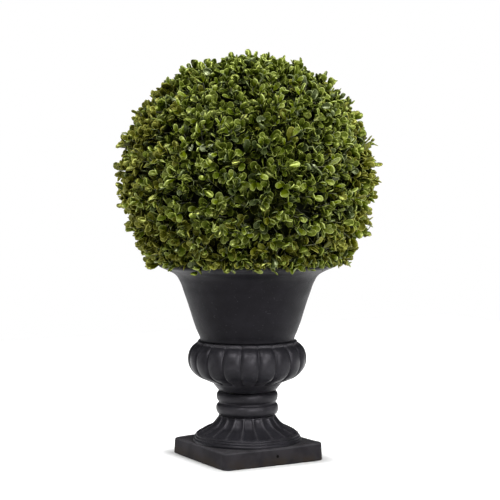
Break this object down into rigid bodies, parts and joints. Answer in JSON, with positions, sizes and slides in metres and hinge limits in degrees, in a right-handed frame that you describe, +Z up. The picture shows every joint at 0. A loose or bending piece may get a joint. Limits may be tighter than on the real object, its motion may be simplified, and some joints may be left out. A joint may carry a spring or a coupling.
{
  "type": "artificial potted boxwood ball topiary",
  "caption": "Clipped ball of artificial boxwood sprays standing in a dark footed urn with a square plinth, for a porch, table or hall.",
  "frame": {"origin": "centre of the plinth's flat underside, on the ground", "axes": "+Z up along the urn's axis; X and Y along the plinth's sides"},
  "size_m": [0.3858, 0.3895, 0.6129],
  "materials": {
    "urn_black": "matte charcoal black cast surface",
    "fill_brown": "dull brown foam",
    "stem_bark": "rough bark",
    "leaf_green": "satin leaves"
  },
  "bodies": {
    "root": {"urn_plinth": "urn_black", "urn_foot": "urn_black", "urn_neck": "urn_black", "urn_bowl": "urn_black", "urn_wall": "urn_black", "pot_fill": "fill_brown", "stem": "stem_bark", "boxwood_ball": "leaf_green"}
  },
  "joints": []
}
